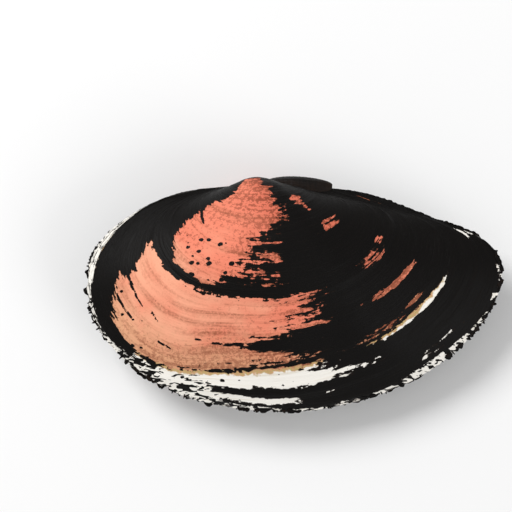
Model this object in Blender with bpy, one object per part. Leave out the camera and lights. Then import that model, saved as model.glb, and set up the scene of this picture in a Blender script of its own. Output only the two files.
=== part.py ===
"""A closed clam shell: a left and a right valve, and the ligament that holds them behind the beaks.

Each valve grew as a logarithmic spiral. Its margin turns about the hinge axis while it shrinks towards
the beak, so every growth line is a smaller copy of the margin. The shell's own axes are +X towards the
posterior end, -Y towards the ventral margin and +Z out of the left valve, with the hinge axis along X
through the origin. The finished shell lies on its right valve, in metres, with +Z up.
"""

import math

import bmesh
import bpy
import numpy as np
from mathutils import Matrix, Vector
from mathutils.bvhtree import BVHTree

MM = 0.001

# Driving dimensions
SHELL_LENGTH = 75.0 * MM
WALL = 1.5 * MM
RIM_WIDTH = 1.1 * MM
HINGE_PLATE_WIDTH = 2.6 * MM
PIECE_GAP = 0.3 * MM
REST_SPOT_DEPTH = 0.12 * MM

# The margin seen from the left valve's side, from the hinge over the anterior end, in shares of the length.
MARGIN_SHAPE = (
    (0.000, -0.006),
    (-0.096, -0.007),
    (-0.179, -0.019),
    (-0.251, -0.044),
    (-0.323, -0.090),
    (-0.376, -0.138),
    (-0.403, -0.199),
    (-0.404, -0.270),
    (-0.361, -0.368),
    (-0.263, -0.460),
    (-0.132, -0.518),
    (0.024, -0.543),
    (0.179, -0.535),
    (0.323, -0.493),
    (0.447, -0.427),
    (0.540, -0.337),
    (0.587, -0.248),
    (0.587, -0.169),
    (0.535, -0.121),
    (0.431, -0.079),
    (0.323, -0.036),
    (0.215, -0.011),
    (0.108, -0.007),
)
MARGIN_HARMONICS = 9
MARGIN_SAMPLES = 720
SPLINE_STEPS = 40

# How the spiral winds: the share lost in each radian, and how far it turns to the beak's tip
SPIRAL_SHRINK = 1.3
BEAK_TURN = 2.85
CAVITY_TURN = 1.12
CAVITY_ROUNDING = 0.30
RIM_BEVEL_TURN = 0.14

# Growth ledges: the stage that each began at, as a share of the full size, and its height
LEDGES = ((0.565, 0.30 * MM), (0.800, 0.14 * MM), (0.925, 0.18 * MM))
LEDGE_RISE = 0.07
LEDGE_FALL = 0.012
LEDGE_FADE = 9.0 * MM

# The low ridge that runs from the beak to where the lower margin turns up at the posterior end
RIDGE_SWEEP = 0.59
RIDGE_HALF_WIDTH = 0.035
RIDGE_HEIGHT = 0.45 * MM
RIDGE_END_POWER = 8

# The ligament, along X from just behind the beaks. It is fullest at its front end and thins towards the back.
LIGAMENT_START = 1.6 * MM
LIGAMENT_END = 13.8 * MM
LIGAMENT_HALF_WIDTH = 1.75 * MM
LIGAMENT_HEIGHT = 1.35 * MM
LIGAMENT_FULLNESS = 1.12
LIGAMENT_THINNING = 0.34
LIGAMENT_EDGE = 0.02 * MM
LIGAMENT_STATIONS = 16
LIGAMENT_AROUND = 14
GROOVE_PROBE = 0.25 * MM

# How the shell comes to rest on its right valve: turned about X, then about Y
REST_ROLL = math.radians(6.3)
REST_PITCH = math.radians(1.3)

# How finely each valve is faceted. The outer rows crowd towards the beak, the inner ones towards both ends.
SWEEP_STEPS = 56
OUTER_ROWS = 25
OUTER_CROWDING = 1.7
INNER_ROWS = 12
INNER_EVEN_SHARE = 0.35
INNER_CROWDING = 1.3
NORMAL_STEP = 1e-4
CUT_TOLERANCE = 1e-7
SHARP_ANGLE = math.radians(40)

# Finishes, as linear colour and roughness: salmon shell under a worn, near-black skin, and dark horn
VALVE_FINISH = ((0.13, 0.06, 0.045), 0.45)
LIGAMENT_FINISH = ((0.09, 0.05, 0.02), 0.5)


def clear_scene():
    """Removes whatever the scene holds."""
    for thing in list(bpy.data.objects):
        bpy.data.objects.remove(thing, do_unlink=True)


def spline_through(points, samples):
    """A closed Catmull-Rom curve through the points, sampled evenly along its length."""
    dense = []
    count = len(points)
    for i in range(count):
        before, here, there, after = (points[(i + k) % count] for k in (-1, 0, 1, 2))
        for t in np.linspace(0.0, 1.0, SPLINE_STEPS, endpoint=False):
            straight = 2 * here + (there - before) * t
            bent = (2 * before - 5 * here + 4 * there - after) * t**2
            twisted = (3 * here - before - 3 * there + after) * t**3
            dense.append(0.5 * (straight + bent + twisted))
    ring = np.array(dense + dense[:1])
    run = np.concatenate([[0.0], np.cumsum(np.linalg.norm(np.diff(ring, axis=0), axis=1))])
    even = np.linspace(0.0, run[-1], samples, endpoint=False)
    return np.stack([np.interp(even, run, ring[:, axis]) for axis in (0, 1)], axis=1)


class Margin:
    """The commissure outline as a short Fourier series, smooth at every point."""

    def __init__(self):
        ring = spline_through(np.array(MARGIN_SHAPE), MARGIN_SAMPLES)
        terms = np.fft.fft(ring[:, 0] + 1j * ring[:, 1]) / MARGIN_SAMPLES
        self.orders = np.arange(-MARGIN_HARMONICS, MARGIN_HARMONICS + 1)
        self.terms = terms[self.orders]
        once_round = np.linspace(0.0, 1.0, MARGIN_SAMPLES, endpoint=False)
        x, _ = self.at(once_round)
        self.terms *= SHELL_LENGTH / (x.max() - x.min())
        x, y = self.at(once_round)
        self.x_low, self.x_high = x.min(), x.max()
        self.y_low, self.y_high = y.min(), y.max()

    def at(self, sweep):
        """X and Y at each sweep, which runs from 0 at the hinge once round over the anterior end."""
        turned = np.exp(2j * np.pi * np.outer(np.atleast_1d(sweep), self.orders))
        value = turned @ self.terms
        return value.real, value.imag


def stage_of(turn):
    """The size of the growth stage that lies this far round the spiral."""
    return np.exp(-SPIRAL_SHRINK * turn)


def turn_of(stage):
    """How far round the spiral a growth stage lies."""
    return -np.log(stage) / SPIRAL_SHRINK


def wound(x, y, turn):
    """Points of a growth stage's plane, wound about the hinge axis by turn."""
    return np.stack([x, y * np.cos(turn), -y * np.sin(turn)], axis=-1)


def ledge_height(stage):
    """How far the outer surface stands proud at a stage: each ledge rises slowly and falls off steeply."""
    height = np.zeros_like(stage)
    for start, step in LEDGES:
        behind = np.minimum(stage - start, 0.0) / LEDGE_RISE
        beyond = np.maximum(stage - start, 0.0) / LEDGE_FALL
        height += step * np.exp(behind - beyond)
    return height


def ridge_height(sweep, stage):
    """How far the posterior ridge stands proud. It grows with the shell and ends at the margin."""
    across = np.exp(-(((sweep - RIDGE_SWEEP) / RIDGE_HALF_WIDTH) ** 2))
    return RIDGE_HEIGHT * stage * across * (1.0 - stage**RIDGE_END_POWER)


def outer_point(margin, sweep, turn):
    """The outer surface without its ledges and ridge."""
    x, y = margin.at(sweep)
    stage = stage_of(turn)
    return wound(stage * x, stage * y, turn)


def outer_surface(margin, sweep, turn):
    """The outer surface, with its ledges and its ridge raised along the normal."""
    stage = stage_of(turn)
    point = outer_point(margin, sweep, turn)
    step = NORMAL_STEP
    along = outer_point(margin, sweep + step, turn) - outer_point(margin, sweep - step, turn)
    inward = outer_point(margin, sweep, turn + step) - outer_point(margin, sweep, turn - step)
    normal = np.cross(inward, along)
    normal /= np.linalg.norm(normal, axis=1, keepdims=True)
    _, y = margin.at(sweep)
    clear_of_hinge = np.clip(np.abs(y) / LEDGE_FADE, 0.0, 1.0)
    height = ledge_height(stage) * clear_of_hinge**2 + ridge_height(sweep, stage)
    return point - normal * height[:, None]


def inner_surface(margin, sweep, turn):
    """The inner surface: each stage is the outer one drawn in by the wall, the rim and the hinge plate."""
    x, y = margin.at(sweep)
    stage = stage_of(turn)
    in_plane = math.sqrt(1.0 + SPIRAL_SHRINK**2) * WALL
    bevel = np.clip(turn / RIM_BEVEL_TURN, 0.0, 1.0)
    wall = RIM_WIDTH + (in_plane - RIM_WIDTH) * bevel
    x_half = stage * (margin.x_high - margin.x_low) / 2
    x_mid = stage * (margin.x_high + margin.x_low) / 2
    top = stage * margin.y_high - HINGE_PLATE_WIDTH
    bottom = stage * margin.y_low + wall
    closing = np.clip((turn - CAVITY_TURN + CAVITY_ROUNDING) / CAVITY_ROUNDING, 0.0, 1.0)
    narrowing = np.sqrt(1.0 - closing**2)
    x_in = x_mid + (stage * x - x_mid) * (x_half - wall) / x_half * narrowing
    share = (y - margin.y_low) / (margin.y_high - margin.y_low)
    y_in = bottom + (top - bottom) * (0.5 + (share - 0.5) * narrowing)
    return wound(x_in, y_in, turn)


def outer_turns():
    """The turns of the outer rows, from the beak's tip to the margin.

    Each ledge has a row on its crest, and the tallest one has a row at its foot too.
    """
    tip = stage_of(BEAK_TURN)
    stages = tip + (1.0 - tip) * np.linspace(0.0, 1.0, OUTER_ROWS - 1) ** OUTER_CROWDING
    for start, _ in LEDGES:
        stages[np.argmin(np.abs(stages - start))] = start
    foot = LEDGES[0][0] + 2 * LEDGE_FALL
    stages = np.sort(np.append(stages, foot))
    return [float(turn_of(stage)) for stage in stages[:-1]] + [0.0]


def inner_turns():
    """The turns of the inner rows, from the rim to the end of the cavity, closer together at both ends."""
    shares = np.linspace(0.0, 1.0, INNER_ROWS + 1)
    crowded = np.sin(shares * math.pi / 2) ** INNER_CROWDING
    eased = INNER_EVEN_SHARE * shares + (1.0 - INNER_EVEN_SHARE) * crowded
    return [float(CAVITY_TURN * share) for share in eased[:-1]]


def valve_mesh(name, margin, side):
    """One valve as a closed mesh in the shell's own axes. Side is 1 for the left valve, -1 for the right one."""
    outer, inner = outer_turns(), inner_turns()
    rows = [(outer_surface, turn) for turn in outer] + [(inner_surface, turn) for turn in inner]
    bm = bmesh.new()
    bmesh.ops.create_uvsphere(bm, u_segments=SWEEP_STEPS, v_segments=len(rows) + 1, radius=1.0)
    by_row = {}
    for vert in bm.verts:
        row = round(math.acos(max(-1.0, min(1.0, vert.co.z))) / math.pi * (len(rows) + 1))
        by_row.setdefault(row, []).append(vert)
    for row, (surface, turn) in enumerate(rows, start=1):
        verts = by_row[row]
        sweep = np.array([math.atan2(v.co.y, v.co.x) / (2 * math.pi) % 1.0 for v in verts])
        for vert, point in zip(verts, surface(margin, sweep, np.full(len(verts), turn))):
            vert.co = Vector(point)
    for pole, ring in ((0, 1), (len(rows) + 1, len(rows))):
        centre = sum((v.co for v in by_row[ring]), Vector()) / len(by_row[ring])
        by_row[pole][0].co = centre
    lift = PIECE_GAP / 2
    for vert in bm.verts:
        vert.co.z = side * (vert.co.z + lift)
    if side < 0:
        bmesh.ops.reverse_faces(bm, faces=bm.faces)
    mesh = bpy.data.meshes.new(name)
    bm.to_mesh(mesh)
    bm.free()
    return mesh


def grind_rest_spot(mesh, pose):
    """Cuts the worn flat spot that the shell rests on, level in the rest pose."""
    lowest = min((pose @ v.co).z for v in mesh.vertices)
    level = lowest + REST_SPOT_DEPTH
    back = pose.inverted()
    down = back.to_3x3() @ Vector((0.0, 0.0, -1.0))
    bm = bmesh.new()
    bm.from_mesh(mesh)
    cut = bmesh.ops.bisect_plane(
        bm,
        geom=bm.verts[:] + bm.edges[:] + bm.faces[:],
        dist=CUT_TOLERANCE,
        plane_co=back @ Vector((0.0, 0.0, level)),
        plane_no=down,
        clear_outer=True,
    )
    edges = [item for item in cut["geom_cut"] if isinstance(item, bmesh.types.BMEdge)]
    bmesh.ops.contextual_create(bm, geom=edges)
    bmesh.ops.recalc_face_normals(bm, faces=bm.faces)
    bm.to_mesh(mesh)
    bm.free()


def height_over_valves(trees, x, z):
    """The Y of the valves' dorsal side at x, the highest of what lies at this z and a little beside it."""
    found = []
    for tree in trees:
        for beside in (-GROOVE_PROBE, 0.0, GROOVE_PROBE):
            hit = tree.ray_cast(Vector((x, SHELL_LENGTH, z + beside)), Vector((0.0, -1.0, 0.0)))
            if hit[0] is not None:
                found.append(hit[0].y)
    return max(found)


def ligament_mesh(valve_meshes):
    """The ligament: a hump over the groove behind the beaks, whose underside follows both valves."""
    trees = []
    for mesh in valve_meshes:
        bm = bmesh.new()
        bm.from_mesh(mesh)
        trees.append(BVHTree.FromBMesh(bm))
        bm.free()
    bm = bmesh.new()
    bmesh.ops.create_uvsphere(bm, u_segments=LIGAMENT_AROUND, v_segments=LIGAMENT_STATIONS, radius=1.0)
    for vert in bm.verts:
        along = 0.5 - 0.5 * vert.co.z
        sideways = Vector((vert.co.x, vert.co.y))
        fullness = sideways.length * (LIGAMENT_FULLNESS - LIGAMENT_THINNING * along)
        direction = sideways.normalized()
        x = LIGAMENT_START + (LIGAMENT_END - LIGAMENT_START) * along
        z = LIGAMENT_HALF_WIDTH * fullness * direction.x
        lift = max(direction.y, 0.0)
        base = height_over_valves(trees, x, z) + PIECE_GAP
        crown = height_over_valves(trees, x, 0.0) + PIECE_GAP + LIGAMENT_HEIGHT * fullness
        y = base + (max(crown - base, 0.0) + LIGAMENT_EDGE) * lift
        vert.co = Vector((x, y, z))
    mesh = bpy.data.meshes.new("ligament")
    bm.to_mesh(mesh)
    bm.free()
    return mesh


def finish(name, colour, roughness):
    """A plain material for one piece, not metallic."""
    material = bpy.data.materials.new(name)
    material.use_nodes = True
    shader = material.node_tree.nodes["Principled BSDF"]
    shader.inputs["Base Color"].default_value = (*colour, 1.0)
    shader.inputs["Roughness"].default_value = roughness
    shader.inputs["Metallic"].default_value = 0.0
    return material


def add_piece(mesh, holder, material):
    """Puts a mesh in the scene as the named piece of its name, carried by the holder."""
    mesh.shade_smooth()
    mesh.set_sharp_from_angle(angle=SHARP_ANGLE)
    mesh.materials.append(material)
    piece = bpy.data.objects.new(mesh.name, mesh)
    bpy.context.scene.collection.objects.link(piece)
    piece.parent = holder
    return piece


def main():
    """Makes the three pieces in the shell's own axes and lays them on the ground in the rest pose."""
    clear_scene()
    margin = Margin()
    left = valve_mesh("left_valve", margin, 1)
    right = valve_mesh("right_valve", margin, -1)
    ligament = ligament_mesh((left, right))
    pose = Matrix.Rotation(REST_PITCH, 4, "Y") @ Matrix.Rotation(REST_ROLL, 4, "X")
    grind_rest_spot(right, pose)
    points = [pose @ v.co for mesh in (left, right, ligament) for v in mesh.vertices]
    low = Vector([min(p[axis] for p in points) for axis in range(3)])
    high = Vector([max(p[axis] for p in points) for axis in range(3)])
    holder = bpy.data.objects.new("shell", None)
    bpy.context.scene.collection.objects.link(holder)
    middle = (low + high) / 2
    holder.matrix_world = Matrix.Translation((-middle.x, -middle.y, -low.z)) @ pose
    add_piece(left, holder, finish("left_valve", *VALVE_FINISH))
    add_piece(right, holder, finish("right_valve", *VALVE_FINISH))
    add_piece(ligament, holder, finish("ligament", *LIGAMENT_FINISH))


main()
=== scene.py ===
"""The looks of a closed clam shell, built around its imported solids.

Each valve is a logarithmic spiral: its margin turns about the hinge axis while it shrinks towards the beak.
The shell's own axes are +X towards the posterior end, -Y towards the lower margin and +Z out of the left
valve. A point of a valve has a sweep, from 0 at the hinge once round over the anterior end, and a stage, the
share of its full size that the shell had when that point was its margin. Lengths are in metres.
"""

import logging
import math
from dataclasses import dataclass, field
from enum import Enum
from typing import Any, Dict, List, Optional, Sequence, Tuple, Union

import bmesh
import bpy
import numpy as np
from mathutils import Matrix, Vector
from mathutils.bvhtree import BVHTree


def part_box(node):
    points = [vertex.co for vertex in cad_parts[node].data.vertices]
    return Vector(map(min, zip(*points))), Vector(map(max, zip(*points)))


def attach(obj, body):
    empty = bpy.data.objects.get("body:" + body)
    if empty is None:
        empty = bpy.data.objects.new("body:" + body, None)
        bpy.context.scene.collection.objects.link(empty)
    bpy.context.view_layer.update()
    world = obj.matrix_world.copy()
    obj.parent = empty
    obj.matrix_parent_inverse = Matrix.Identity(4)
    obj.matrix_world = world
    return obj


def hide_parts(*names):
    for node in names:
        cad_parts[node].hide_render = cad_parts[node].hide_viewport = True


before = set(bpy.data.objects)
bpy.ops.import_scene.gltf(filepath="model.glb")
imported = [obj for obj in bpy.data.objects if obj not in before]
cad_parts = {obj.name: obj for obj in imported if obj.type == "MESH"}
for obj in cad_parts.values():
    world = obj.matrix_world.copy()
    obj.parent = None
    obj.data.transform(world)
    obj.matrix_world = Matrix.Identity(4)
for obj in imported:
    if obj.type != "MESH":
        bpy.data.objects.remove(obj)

MM = 0.001
FULL_TURN = 2 * math.pi
BODY = "root"
LOG = logging.getLogger("clam_shell")

Colour = Tuple[float, float, float]
Number = Union[int, float]
Rows = np.ndarray


def from_screen(red: int, green: int, blue: int) -> Colour:
    """Turns a colour of the screen, 0 to 255, into the linear values that a shader takes.

    Args:
        red: The red share.
        green: The green share.
        blue: The blue share.

    Returns:
        The linear red, green and blue.
    """
    shares = (share / 255.0 for share in (red, green, blue))
    return tuple(s / 12.92 if s <= 0.04045 else ((s + 0.055) / 1.055) ** 2.4 for s in shares)


def smooth(value: Rows, low: float, high: float) -> Rows:
    """Eases a value from 0 at low to 1 at high."""
    share = np.clip((value - low) / (high - low), 0.0, 1.0)
    return share * share * (3.0 - 2.0 * share)


def uneven(sweep: Rows, first: int, second: int, phase: float = 0.0) -> Rows:
    """Gives an uneven wave round the rim, from -1 to 1.

    Args:
        sweep: The sweep of each point.
        first: How many waves the first of its two parts has.
        second: How many the second has.
        phase: Where the second starts.

    Returns:
        The product of the two.
    """
    return np.sin(FULL_TURN * first * sweep) * np.sin(FULL_TURN * second * sweep + phase)


class Side(Enum):
    """Which valve of the pair, by the sign of its own Z."""

    LEFT = 1
    RIGHT = -1


@dataclass(frozen=True)
class Margin:
    """The outline where the valves meet, as a short Fourier series."""

    length: float = 75.0 * MM
    harmonics: int = 9
    samples: int = 720
    shape: Tuple[Tuple[float, float], ...] = (
        (0.000, -0.006),
        (-0.096, -0.007),
        (-0.179, -0.019),
        (-0.251, -0.044),
        (-0.323, -0.090),
        (-0.376, -0.138),
        (-0.403, -0.199),
        (-0.404, -0.270),
        (-0.361, -0.368),
        (-0.263, -0.460),
        (-0.132, -0.518),
        (0.024, -0.543),
        (0.179, -0.535),
        (0.323, -0.493),
        (0.447, -0.427),
        (0.540, -0.337),
        (0.587, -0.248),
        (0.587, -0.169),
        (0.535, -0.121),
        (0.431, -0.079),
        (0.323, -0.036),
        (0.215, -0.011),
        (0.108, -0.007),
    )

    def __post_init__(self) -> None:
        """Works out the series, scaled to the shell's length."""
        ring = self.spline_ring()
        terms = np.fft.fft(ring[:, 0] + 1j * ring[:, 1]) / self.samples
        orders = np.arange(-self.harmonics, self.harmonics + 1)
        object.__setattr__(self, "orders", orders)
        object.__setattr__(self, "terms", terms[orders])
        once_round = np.linspace(0.0, 1.0, self.samples, endpoint=False)
        x, _ = self.at(once_round)
        object.__setattr__(self, "terms", self.terms * self.length / (x.max() - x.min()))
        x, y = self.at(once_round)
        object.__setattr__(self, "x_range", (x.min(), x.max()))
        object.__setattr__(self, "y_range", (y.min(), y.max()))

    def spline_ring(self) -> Rows:
        """Samples a closed Catmull-Rom curve through the shape's points, evenly along its length.

        Returns:
            One row of X and Y for each sample, in shares of the shell's length.
        """
        points = np.array(self.shape)
        dense: List[Rows] = []
        for i in range(len(points)):
            before, here, there, after = (points[(i + k) % len(points)] for k in (-1, 0, 1, 2))
            for t in np.linspace(0.0, 1.0, 40, endpoint=False):
                straight = 2 * here + (there - before) * t
                bent = (2 * before - 5 * here + 4 * there - after) * t**2
                twisted = (3 * here - before - 3 * there + after) * t**3
                dense.append(0.5 * (straight + bent + twisted))
        ring = np.array(dense + dense[:1])
        run = np.concatenate([[0.0], np.cumsum(np.linalg.norm(np.diff(ring, axis=0), axis=1))])
        even = np.linspace(0.0, run[-1], self.samples, endpoint=False)
        return np.stack([np.interp(even, run, ring[:, axis]) for axis in (0, 1)], axis=1)

    def at(self, sweep: Rows) -> Tuple[Rows, Rows]:
        """Gives the X and Y of the margin at each sweep."""
        value = np.exp(2j * np.pi * np.outer(sweep, self.orders)) @ self.terms
        return value.real, value.imag


@dataclass(frozen=True)
class Spiral:
    """How a valve winds from its margin to its beak, how thick it is and how far it stays from its mate."""

    margin: Margin
    shrink: float = 1.3
    beak_turn: float = 2.85
    cavity_turn: float = 1.12
    cavity_rounding: float = 0.30
    wall: float = 1.5 * MM
    rim_width: float = 1.1 * MM
    rim_bevel_turn: float = 0.14
    hinge_plate_width: float = 2.6 * MM
    gap: float = 0.3 * MM

    def stage(self, turn: Rows) -> Rows:
        """Gives the size of the growth stage that lies this far round."""
        return np.exp(-self.shrink * turn)

    def turn(self, stage: Rows) -> Rows:
        """Gives how far round a growth stage lies."""
        return -np.log(stage) / self.shrink

    @staticmethod
    def wound(x: Rows, y: Rows, turn: Rows) -> Rows:
        """Winds points of a growth stage's plane about the hinge axis."""
        return np.stack([x, y * np.cos(turn), -y * np.sin(turn)], axis=-1)

    def outer(self, sweep: Rows, turn: Rows) -> Rows:
        """Gives the plain outer surface.

        Args:
            sweep: The sweep of each point.
            turn: The turn of each point.

        Returns:
            One row of X, Y and Z for each point.
        """
        x, y = self.margin.at(sweep)
        stage = self.stage(turn)
        return self.wound(stage * x, stage * y, turn)

    def outward(self, sweep: Rows, turn: Rows) -> Rows:
        """Gives the outer surface's unit normals, by differences.

        Args:
            sweep: The sweep of each point.
            turn: The turn of each point.

        Returns:
            One row for each point, pointing out of the shell.
        """
        step = 1e-4
        along = self.outer(sweep + step, turn) - self.outer(sweep - step, turn)
        inward = self.outer(sweep, turn + step) - self.outer(sweep, turn - step)
        normal = np.cross(along, inward)
        return normal / np.linalg.norm(normal, axis=1, keepdims=True)

    def inner(self, sweep: Rows, turn: Rows) -> Rows:
        """Gives the inner surface, drawn in from the outer one by the wall, the rim and the hinge plate.

        Args:
            sweep: The sweep of each point.
            turn: The turn of each point.

        Returns:
            One row of X, Y and Z for each point.
        """
        x, y = self.margin.at(sweep)
        x_low, x_high = self.margin.x_range
        y_low, y_high = self.margin.y_range
        stage = self.stage(turn)
        in_plane = math.sqrt(1.0 + self.shrink**2) * self.wall
        wall = self.rim_width + (in_plane - self.rim_width) * np.clip(turn / self.rim_bevel_turn, 0.0, 1.0)
        x_half = stage * (x_high - x_low) / 2
        x_mid = stage * (x_high + x_low) / 2
        top = stage * y_high - self.hinge_plate_width
        bottom = stage * y_low + wall
        ended = self.cavity_turn - self.cavity_rounding
        narrowing = np.sqrt(1.0 - np.clip((turn - ended) / self.cavity_rounding, 0.0, 1.0) ** 2)
        x_in = x_mid + (stage * x - x_mid) * (x_half - wall) / x_half * narrowing
        share = (y - y_low) / (y_high - y_low)
        y_in = bottom + (top - bottom) * (0.5 + (share - 0.5) * narrowing)
        return self.wound(x_in, y_in, turn)


@dataclass(frozen=True)
class Ledge:
    """A growth ledge, where the shell stopped for a while: a slow rise to its start, then a steep fall."""

    start: float
    height: float
    rise: float = 0.07
    fall: float = 0.012

    def raised(self, stage: Rows) -> Rows:
        """Gives how far the ledge stands proud at each stage."""
        behind = np.minimum(stage - self.start, 0.0) / self.rise
        beyond = np.maximum(stage - self.start, 0.0) / self.fall
        return self.height * np.exp(behind - beyond)


@dataclass(frozen=True)
class Relief:
    """What stands proud of a valve's plain outer surface: ledges, growth lines, the ridge and a swell."""

    seed: int
    ledges: Tuple[Ledge, ...] = (
        Ledge(0.557, 0.30 * MM),
        Ledge(0.800, 0.14 * MM),
        Ledge(0.925, 0.18 * MM),
    )
    ledge_fade: float = 9.0 * MM
    line_count: int = 64
    line_stages: Tuple[float, float] = (0.06, 0.985)
    line_height: Tuple[float, float] = (0.018 * MM, 0.085 * MM)
    line_rise: Tuple[float, float] = (0.006, 0.016)
    line_fall: float = 0.0035
    line_wander: float = 0.0022
    line_fade: float = 2.5 * MM
    ridge_sweep: float = 0.59
    ridge_half_width: float = 0.035
    ridge_height: float = 0.45 * MM
    swell_height: float = 0.10 * MM
    swell_length: Tuple[float, float] = (9.0 * MM, 22.0 * MM)
    swell_count: int = 7
    swell_end: float = 0.97

    def height(self, margin: Margin, sweep: Rows, stage: Rows, level: Rows) -> Rows:
        """Adds up the relief.

        Args:
            margin: The outline, whose distance from the hinge fades the relief out.
            sweep: The sweep of each point.
            stage: The stage of each point.
            level: The growth level of each point.

        Returns:
            The height of each point above the plain outer surface.
        """
        x, y = margin.at(sweep)
        from_hinge = np.abs(y)
        height = sum(ledge.raised(level) for ledge in self.ledges)
        height = height * np.clip(from_hinge / self.ledge_fade, 0.0, 1.0) ** 2
        height += self.ridge(sweep, stage)
        height += self.lines(sweep, level) * np.clip(from_hinge / self.line_fade, 0.0, 1.0)
        at_margin = smooth(stage, 1.0, self.swell_end)
        return height + self.swell(stage * x, stage * y) * stage * at_margin

    def ridge(self, sweep: Rows, stage: Rows) -> Rows:
        """Gives the height of the low ridge that runs from the beak to the rear corner.

        Args:
            sweep: The sweep of each point.
            stage: The stage of each point.

        Returns:
            Its height at each point, none at the margin.
        """
        offset = (sweep - self.ridge_sweep) / self.ridge_half_width
        return self.ridge_height * stage * np.exp(-(offset**2)) * (1.0 - stage**8)

    def lines(self, sweep: Rows, level: Rows) -> Rows:
        """Adds up the fine growth lines, each one uneven along its length.

        Args:
            sweep: The sweep of each point.
            level: The growth level of each point.

        Returns:
            Their height at each point.
        """
        chance = np.random.default_rng(self.seed)
        low, high = self.line_height
        height = np.zeros_like(level)
        starts = np.sort(chance.uniform(*self.line_stages, self.line_count))
        for start in starts:
            full = low + (high - low) * chance.random() ** 2.2
            waves, phase = chance.integers(1, 5), chance.uniform(0.0, 1.0)
            strength = 0.62 + 0.38 * np.cos(FULL_TURN * (waves * sweep + phase))
            bends, phase = chance.integers(2, 7), chance.uniform(0.0, 1.0)
            wander = self.line_wander * np.sin(FULL_TURN * (bends * sweep + phase))
            line = Ledge(0.0, full, rise=chance.uniform(*self.line_rise), fall=self.line_fall)
            height += line.raised(level - start - wander) * strength
        return height

    def swell(self, x: Rows, y: Rows) -> Rows:
        """Adds up a few long waves, so that no two parts of the valve curve quite alike.

        Args:
            x: The X of each point.
            y: The Y of each point.

        Returns:
            Their height at each point.
        """
        chance = np.random.default_rng(self.seed + 1)
        height = np.zeros_like(x)
        for _ in range(self.swell_count):
            heading = chance.uniform(0.0, FULL_TURN)
            length = chance.uniform(*self.swell_length)
            across = (x * math.cos(heading) + y * math.sin(heading)) / length
            height += np.sin(FULL_TURN * (across + chance.uniform(0.0, 1.0)))
        return height * self.swell_height / math.sqrt(self.swell_count)


@dataclass(frozen=True)
class GrowthBand:
    """The pale band near the margin. The growth lines about it share its slant, and the margin has none."""

    sweeps: Tuple[float, ...]
    stages: Tuple[float, ...]
    level: float = 0.84
    slant: Tuple[float, float] = (0.50, 0.80)
    blur: int = 12
    samples: int = 400

    def stage_at(self, sweep: Rows) -> Rows:
        """Gives the stage of the band's inner edge at each sweep, with the table's corners rounded."""
        even = np.linspace(0.0, 1.0, self.samples)
        table = np.interp(even, self.sweeps, self.stages)
        padded = np.pad(table, self.blur, mode="edge")
        window = np.hanning(2 * self.blur + 3)[1:-1]
        return np.interp(sweep, even, np.convolve(padded, window / window.sum(), mode="valid"))

    def level_of(self, sweep: Rows, stage: Rows) -> Rows:
        """Evens out the slant, so that one growth line has one level all round.

        Args:
            sweep: The sweep of each point.
            stage: The stage of each point.

        Returns:
            The level, which is the stage near the beak and at the margin.
        """
        edge = self.stage_at(sweep)
        first, full = self.slant
        slanting = np.clip((stage - first) / (full - first), 0.0, 1.0)
        closing = np.clip((1.0 - stage) / (1.0 - edge), 0.0, 1.0)
        return stage - (edge - self.level) * np.minimum(slanting, closing)


@dataclass(frozen=True)
class Patch:
    """A patch of the valve with a frayed edge, by its outline in sweep and stage."""

    outline: Tuple[Tuple[float, float], ...]
    fray: Tuple[float, float] = (0.03, 0.03)
    stage_fray: float = 0.02
    strength: float = 1.0

    def unrolled(self, sweep: Rows, stage: Rows) -> Tuple[Rows, Rows]:
        """Measures sweep and stage by how far the edge frays, which changes from the first to the last sweep.

        Args:
            sweep: The sweep of each point.
            stage: The stage of each point.

        Returns:
            The two measures.
        """
        ends = [corner[0] for corner in self.outline]
        even = np.linspace(0.0, 1.0, 401)
        run = np.cumsum(1.0 / np.interp(even, (min(ends), max(ends)), self.fray)) * (even[1] - even[0])
        return np.interp(sweep, even, run), stage / self.stage_fray

    def depth(self, sweep: Rows, stage: Rows) -> Rows:
        """Works out how deep inside the outline each point lies, in frays.

        Args:
            sweep: The sweep of each point.
            stage: The stage of each point.

        Returns:
            The depth, below zero outside.
        """
        u, v = self.unrolled(sweep, stage)
        corners_u, corners_v = self.unrolled(*(np.array(values) for values in zip(*self.outline)))
        nearest = np.full(u.shape, np.inf)
        inside = np.zeros(u.shape, dtype=bool)
        for i in range(len(corners_u)):
            u0, v0, u1, v1 = corners_u[i - 1], corners_v[i - 1], corners_u[i], corners_v[i]
            run_u, run_v = u1 - u0, v1 - v0
            share = np.clip(((u - u0) * run_u + (v - v0) * run_v) / (run_u**2 + run_v**2), 0.0, 1.0)
            nearest = np.minimum(nearest, np.hypot(u - u0 - share * run_u, v - v0 - share * run_v))
            if run_v != 0.0:
                crossed = ((v0 > v) != (v1 > v)) & (u < u0 + (v - v0) * run_u / run_v)
                inside ^= crossed
        return np.where(inside, nearest, -nearest)

    def worn_and_shaded(self, sweep: Rows, stage: Rows) -> Rows:
        """Gives a half at the patch's edge, more inside it and less outside."""
        return 0.5 + 0.5 * np.clip(self.depth(sweep, stage), -1.0, self.strength)


def streak(
    *outline: Tuple[float, float], fray: float = 0.01, stage_fray: float = 0.01, strength: float = 0.2
) -> Patch:
    """Makes a small patch that frays alike at both of its ends.

    Args:
        outline: Its corners, in sweep and stage.
        fray: How far it frays along the growth lines, in sweep.
        stage_fray: How far it frays across them, in stage.
        strength: How clear of skin its middle is.

    Returns:
        The patch.
    """
    return Patch(outline, (fray, fray), stage_fray, strength)


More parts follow.
